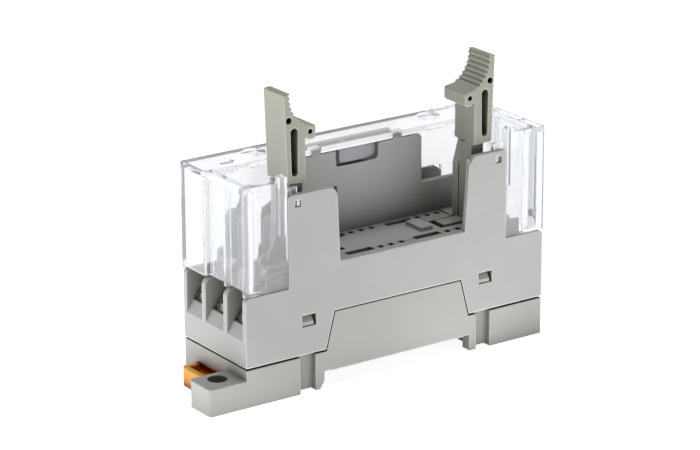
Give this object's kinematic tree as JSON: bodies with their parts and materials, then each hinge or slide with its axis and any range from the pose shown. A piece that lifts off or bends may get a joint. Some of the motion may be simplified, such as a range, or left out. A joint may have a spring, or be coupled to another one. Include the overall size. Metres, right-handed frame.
{
  "type": "relay socket",
  "caption": "Slim rail-mounted socket for a flat plug-in relay, with ejector levers, screw terminals under a clear cover, and a spring rail slider.",
  "frame": {"origin": "on the face that seats on the rail, midway between the rail's two edges and midway across the socket's width", "axes": "+X along the socket, across the rail, away from the sprung slider; +Y along the rail, away from the side with the open relay bay; +Z away from the mounting panel"},
  "size_m": [0.0884, 0.0226, 0.0606],
  "materials": {
    "case_plastic": "fine moulded texture",
    "base_plastic": "fine moulded texture",
    "lever_plastic": "satin",
    "slider_plastic": "satin",
    "clear_cover": "clear moulded plastic",
    "lens": "translucent plastic",
    "led_clear": "water-clear epoxy",
    "board": "coated laminate",
    "resistor_body": "lacquer",
    "diode_body": "moulded epoxy",
    "contact_brass": "stamped strip",
    "plated_steel": "zinc plated"
  },
  "bodies": {
    "housing": {"base": "base_plastic", "case": "case_plastic", "contact_block": "case_plastic", "terminal_cover": "clear_cover", "indicator_lens": "lens", "indicator_led": "led_clear", "indicator_board": "board", "resistor": "resistor_body", "surge_diode": "diode_body", "contact_1": "contact_brass", "contact_2": "contact_brass", "contact_3": "contact_brass", "contact_4": "contact_brass", "contact_5": "contact_brass", "contact_6": "contact_brass", "contact_7": "contact_brass", "contact_8": "contact_brass", "contact_9": "contact_brass", "contact_10": "contact_brass", "wire_clamp_1": "plated_steel", "wire_clamp_2": "plated_steel", "wire_clamp_3": "plated_steel", "wire_clamp_4": "plated_steel", "wire_clamp_5": "plated_steel", "wire_clamp_6": "plated_steel", "wire_clamp_7": "plated_steel", "wire_clamp_8": "plated_steel", "wire_clamp_9": "plated_steel", "wire_clamp_10": "plated_steel", "terminal_screw_1": "plated_steel", "terminal_screw_2": "plated_steel", "terminal_screw_3": "plated_steel", "terminal_screw_4": "plated_steel", "terminal_screw_5": "plated_steel", "terminal_screw_6": "plated_steel", "terminal_screw_7": "plated_steel", "terminal_screw_8": "plated_steel", "terminal_screw_9": "plated_steel", "terminal_screw_10": "plated_steel"},
    "lever_left": {"lever_left": "lever_plastic"},
    "lever_right": {"lever_right": "lever_plastic"},
    "rail_slider": {"rail_slider": "slider_plastic"}
  },
  "joints": [
    {"name": "lever_right_swing", "type": "hinge", "parent": "housing", "child": "lever_right", "pos_m": [0.0223, -0.006, 0.0206], "axis": [0, 1, 0], "range_deg": [0, 20]},
    {"name": "lever_left_swing", "type": "hinge", "parent": "housing", "child": "lever_left", "pos_m": [-0.0223, -0.006, 0.0206], "axis": [0, -1, 0], "range_deg": [0, 20]},
    {"name": "rail_slider_pull", "type": "slide", "parent": "housing", "child": "rail_slider", "axis": [-1, 0, 0], "range_m": [0, 0.0026], "stiffness_N_per_m": 600, "springref_m": -0.001}
  ]
}
